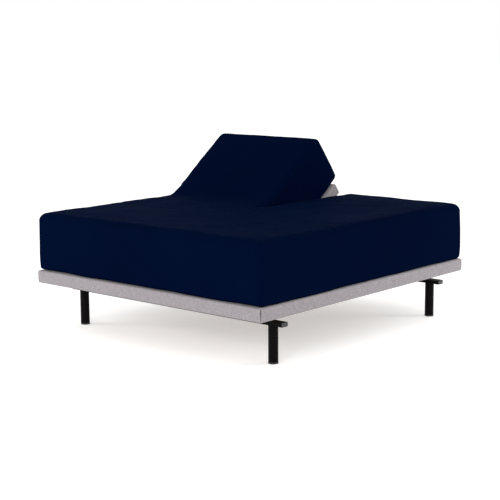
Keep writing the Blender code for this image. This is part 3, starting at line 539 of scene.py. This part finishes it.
# ---- Materials ---------------------------------------------------------------------------
class Shader:
    """A material's node tree, built by name."""

    def __init__(self, name):
        self.material = bpy.data.materials.new(name)
        self.material.use_nodes = True
        self.tree = self.material.node_tree
        self.tree.nodes.clear()
        self.out = self.tree.nodes.new("ShaderNodeOutputMaterial")
        self.bsdf = self.tree.nodes.new("ShaderNodeBsdfPrincipled")
        self.link(self.bsdf.outputs[0], self.out.inputs[0])
        self.coord = self.tree.nodes.new("ShaderNodeTexCoord")

    def link(self, a, b):
        self.tree.links.new(a, b)

    def put(self, socket, value):
        if hasattr(value, "links"):
            self.link(value, socket)
        else:
            socket.default_value = value

    def math(self, operation, a, b=0.0, c=0.0):
        node = self.tree.nodes.new("ShaderNodeMath")
        node.operation = operation
        for socket, value in zip(node.inputs, (a, b, c)):
            self.put(socket, value)
        return node.outputs[0]

    def scaled(self, vector, scale):
        node = self.tree.nodes.new("ShaderNodeMapping")
        self.put(node.inputs["Vector"], vector)
        node.inputs["Scale"].default_value = scale
        return node.outputs[0]

    def noise(self, vector, scale, detail=3.0, rough=0.5, distortion=0.0):
        node = self.tree.nodes.new("ShaderNodeTexNoise")
        self.put(node.inputs["Vector"], vector)
        for key, value in (("Scale", scale), ("Detail", detail), ("Roughness", rough),
                           ("Distortion", distortion)):
            node.inputs[key].default_value = value
        return node.outputs[0]

    def ramp(self, value, stops):
        node = self.tree.nodes.new("ShaderNodeValToRGB")
        self.put(node.inputs[0], value)
        elements = node.color_ramp.elements
        while len(elements) < len(stops):
            elements.new(0.5)
        for element, (place, colour) in zip(elements, stops):
            element.position = place
            element.color = (*colour, 1)
        return node.outputs[0]

    def mix(self, share, a, b):
        node = self.tree.nodes.new("ShaderNodeMix")
        node.data_type = "RGBA"
        self.put(node.inputs[0], share)
        for socket, value in ((node.inputs[6], a), (node.inputs[7], b)):
            self.put(socket, (*value, 1) if isinstance(value, tuple) else value)
        return node.outputs[2]

    def range(self, value, low, high):
        node = self.tree.nodes.new("ShaderNodeMapRange")
        self.put(node.inputs[0], value)
        node.inputs[3].default_value = low
        node.inputs[4].default_value = high
        return node.outputs[0]

    def bump(self, height, distance, strength=1.0, normal=None):
        node = self.tree.nodes.new("ShaderNodeBump")
        self.put(node.inputs["Height"], height)
        node.inputs["Distance"].default_value = distance
        node.inputs["Strength"].default_value = strength
        if normal is not None:
            self.link(normal, node.inputs["Normal"])
        return node.outputs[0]

    def split(self, vector):
        node = self.tree.nodes.new("ShaderNodeSeparateXYZ")
        self.put(node.inputs[0], vector)
        return tuple(node.outputs)

    def set(self, **values):
        for key, value in values.items():
            self.put(self.bsdf.inputs[key.replace("_", " ")], value)


def weave_height(shader, uv, pitch):
    """Over-and-under threads of this pitch, from the cloth's own coordinates in metres."""
    u, v, _ = shader.split(uv)
    a = shader.math("SINE", shader.math("MULTIPLY", u, 2 * pi / pitch))
    b = shader.math("SINE", shader.math("MULTIPLY", v, 2 * pi / pitch))
    return shader.math("MULTIPLY_ADD", shader.math("MULTIPLY", a, b), 0.5, 0.5)


def sheet_material():
    s = Shader("navy_sheet")
    uv, obj = s.coord.outputs["UV"], s.coord.outputs["Object"]
    weave = weave_height(s, uv, 0.0016)
    threads = s.noise(s.scaled(uv, (900, 60, 1)), 1.0, 2)
    crumple = s.noise(obj, 5.5, 4, 0.5, 0.35)
    drift = s.noise(obj, 1.4, 3, 0.5)
    base = s.mix(s.range(drift, 0, 1), (0.0001, 0.0012, 0.0090), (0.0002, 0.0027, 0.0160))
    base = s.mix(s.range(threads, 0.0, 0.5), base, (0.0006, 0.0042, 0.0210))
    rough = s.range(s.math("ADD", crumple, s.math("MULTIPLY", weave, 0.25)), 0.72, 0.92)
    normal = s.bump(crumple, 0.012, 0.5)
    normal = s.bump(weave, 0.00025, 0.6, normal)
    s.set(Base_Color=base, Roughness=rough, Normal=normal)
    s.set(Specular_IOR_Level=0.004, Sheen_Weight=0.006, Sheen_Roughness=0.35)
    s.bsdf.inputs["Sheen Tint"].default_value = (0.03, 0.30, 1, 1)
    s.bsdf.inputs["Specular Tint"].default_value = (0.1, 0.4, 1, 1)
    return s.material


def upholstery_material():
    s = Shader("greige_linen")
    uv, obj = s.coord.outputs["UV"], s.coord.outputs["Object"]
    weave = weave_height(s, uv, 0.0024)
    warp = s.noise(s.scaled(uv, (420, 26, 1)), 1.0, 3, 0.6)
    weft = s.noise(s.scaled(uv, (26, 420, 1)), 1.0, 3, 0.6)
    slub = s.math("MULTIPLY", s.math("ADD", warp, weft), 0.5)
    blotch = s.noise(obj, 9, 3, 0.55)
    grain = s.math("ADD", s.math("MULTIPLY", slub, 0.7), s.math("MULTIPLY", weave, 0.3))
    base = s.ramp(grain, [(0.34, (0.120, 0.107, 0.114)), (0.50, (0.240, 0.221, 0.233)),
                          (0.66, (0.385, 0.360, 0.376))])
    base = s.mix(s.range(blotch, 0.0, 0.22), base, (0.185, 0.166, 0.175))
    normal = s.bump(slub, 0.0012, 0.7)
    normal = s.bump(weave, 0.0005, 0.7, normal)
    s.set(Base_Color=base, Roughness=s.range(grain, 0.95, 0.78), Normal=normal)
    s.set(Specular_IOR_Level=0.20, Sheen_Weight=0.10, Sheen_Roughness=0.5)
    return s.material


def seam_shade_material():
    s = Shader("seam_thread")
    uv = s.coord.outputs["UV"]
    stitch = s.math("SINE", s.math("MULTIPLY", s.split(uv)[1], 2 * pi / 0.004))
    # Thread colours far darker than the linen: real stitches, with painted shade of the corner's groove.
    base = s.mix(s.range(stitch, 0, 1), (0.055, 0.048, 0.050), (0.095, 0.084, 0.086))
    s.set(Base_Color=base, Roughness=0.9, Normal=s.bump(stitch, 0.0006, 0.8))
    return s.material


def steel_material():
    s = Shader("black_powder_coat")
    obj = s.coord.outputs["Object"]
    peel = s.noise(obj, 900, 2, 0.5)
    wear = s.noise(obj, 7, 5, 0.6)
    base = s.mix(s.range(wear, 0, 1), (0.0011, 0.0006, 0.0010), (0.0030, 0.0020, 0.0027))
    s.set(Base_Color=base, Roughness=s.range(wear, 0.36, 0.56), Normal=s.bump(peel, 0.0002, 0.5))
    s.set(Specular_IOR_Level=0.05)
    return s.material


def zinc_material():
    s = Shader("bright_zinc")
    obj = s.coord.outputs["Object"]
    streak = s.noise(s.scaled(obj, (900, 30, 900)), 1.0, 2)
    cloud = s.noise(obj, 30, 3)
    base = s.mix(s.range(cloud, 0, 1), (0.50, 0.52, 0.54), (0.66, 0.67, 0.67))
    s.set(Base_Color=base, Metallic=1.0, Roughness=s.range(streak, 0.24, 0.42),
          Normal=s.bump(streak, 0.0001, 0.4))
    return s.material


def plastic_material(name, low, high):
    s = Shader(name)
    obj = s.coord.outputs["Object"]
    grain = s.noise(obj, 1400, 2, 0.6)
    cloud = s.noise(obj, 22, 3)
    s.set(Base_Color=s.mix(s.range(cloud, 0, 1), low, high),
          Roughness=s.range(grain, 0.42, 0.62), Normal=s.bump(grain, 0.00015, 0.5))
    s.set(Specular_IOR_Level=0.4)
    return s.material


def plywood_material():
    s = Shader("plywood")
    obj = s.coord.outputs["Object"]
    figure = s.noise(s.scaled(obj, (3.0, 34, 34)), 1.0, 5, 0.55, 0.6)
    plies = s.math("SINE", s.math("MULTIPLY", s.split(obj)[2], 2 * pi / 0.003))
    pores = s.noise(s.scaled(obj, (40, 900, 900)), 1.0, 2)
    base = s.ramp(figure, [(0.30, (0.30, 0.175, 0.085)), (0.52, (0.47, 0.31, 0.17)),
                           (0.75, (0.60, 0.43, 0.26))])
    base = s.mix(s.range(plies, 0.0, 0.22), base, (0.20, 0.11, 0.055))
    s.set(Base_Color=base, Roughness=s.range(figure, 0.55, 0.75),
          Normal=s.bump(pores, 0.0003, 0.5))
    return s.material


SHEET = sheet_material()
LINEN = upholstery_material()
SEAM_AND_SHADE = seam_shade_material()
FINISHES = {
    "black_steel": steel_material(),
    "zinc_steel": zinc_material(),
    "black_plastic": plastic_material("black_plastic_grain", (0.010, 0.009, 0.011),
                                      (0.017, 0.015, 0.017)),
    "grey_plastic": plastic_material("grey_plastic_grain", (0.13, 0.13, 0.14),
                                     (0.18, 0.18, 0.185)),
    "upholstery": LINEN,
    "plywood": plywood_material(),
    "sheet": SHEET,
}
CAP = plastic_material("end_cap_grain", (0.020, 0.018, 0.022), (0.032, 0.029, 0.034))
slots = {row["node"]: row["material_slot"] for row in frame["record"]["subparts"]}
for name, node in frame["nodes"].items():
    finish = CAP if name.startswith("crossbar_cap") else FINISHES[slots[name]]
    if not node.material_slots:
        node.data.materials.append(finish)
    for slot in node.material_slots:
        slot.material = finish
for piece in covers.values():
    piece.data.materials.append(LINEN)
for seam in seams:
    # The darts take the dark seam finish: painted shade along the cover's corners.
    seam.data.materials.append(SEAM_AND_SHADE)
SHEETS = (sheet_foot, sheet_middle, sheet_right, sheet_fold, sheet_left)
for piece in SHEETS:
    piece.data.materials.append(SHEET)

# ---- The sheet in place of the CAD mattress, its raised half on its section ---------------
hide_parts("mattress_foot")
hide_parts("mattress_thigh", "mattress_seat", "mattress_fold_hip")
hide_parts("mattress_head_right", "mattress_fold_head_right")
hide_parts("mattress_fold_head_left")
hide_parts("mattress_head_left")
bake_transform(sheet_foot)
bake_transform(sheet_middle)
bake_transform(sheet_right)
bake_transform(sheet_fold)
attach(sheet_left, "head_left")
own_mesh(sheet_left)

# ---- Floor, light and camera ---------------------------------------------------------------
FLOOR_HALF = 60
corners = [(x * FLOOR_HALF, y * FLOOR_HALF, 0) for x, y in ((-1, -1), (1, -1), (1, 1), (-1, 1))]
mesh = bpy.data.meshes.new("floor")
mesh.from_pydata(corners, [], [(0, 1, 2, 3)])
floor = bpy.data.objects.new("floor", mesh)
bpy.context.scene.collection.objects.link(floor)
s = Shader("floor_paint")
mottle = s.noise(s.coord.outputs["Object"], 3, 4)
s.set(Base_Color=s.mix(s.range(mottle, 0, 1), (0.80, 0.80, 0.80), (0.82, 0.82, 0.82)),
      Roughness=0.9, Specular_IOR_Level=0.0, Emission_Color=(1, 1, 1, 1),
      Emission_Strength=0.38)
mesh.materials.append(s.material)

world = bpy.data.worlds.new("studio")
bpy.context.scene.world = world
world.use_nodes = True
background = world.node_tree.nodes["Background"]
background.inputs[0].default_value = (1, 1, 1, 1)
background.inputs[1].default_value = 1.0


def area(name, place, aim, size, power):
    data = bpy.data.lights.new(name, "AREA")
    data.shape = "RECTANGLE"
    data.size, data.size_y = size
    data.energy = power
    lamp = bpy.data.objects.new(name, data)
    lamp.location = place
    lamp.rotation_mode = "QUATERNION"
    lamp.rotation_quaternion = (Vector(aim) - Vector(place)).to_track_quat("-Z", "Y")
    bpy.context.scene.collection.objects.link(lamp)


area("front", (3.4, -7.0, 3.0), (0, 0, 0.2), (3.5, 1.8), 230)
area("left", (-4.4, -3.6, 1.6), (-0.9, -1.0, 0.4), (1.8, 1.6), 95)
area("right", (4.2, 3.6, 1.6), (0.9, 1.0, 0.4), (1.8, 1.6), 95)

CAMERA_PLACE = (5.2091, -6.0704, 1.8075)
CAMERA_TURN, CAMERA_TILT, CAMERA_ROLL = 0.7125, 0.1666, 0.0055
camera_data = bpy.data.cameras.new("camera")
camera_data.sensor_width = 36
camera_data.lens = 91.66
camera = bpy.data.objects.new("camera", camera_data)
bpy.context.scene.collection.objects.link(camera)
camera.matrix_world = (Matrix.Translation(CAMERA_PLACE)
                       @ Matrix.Rotation(CAMERA_TURN, 4, "Z")
                       @ Matrix.Rotation(pi / 2 - CAMERA_TILT, 4, "X")
                       @ Matrix.Rotation(-CAMERA_ROLL, 4, "Z"))
bpy.context.scene.camera = camera
bpy.context.scene.view_settings.view_transform = "Standard"

bpy.context.view_layer.update()
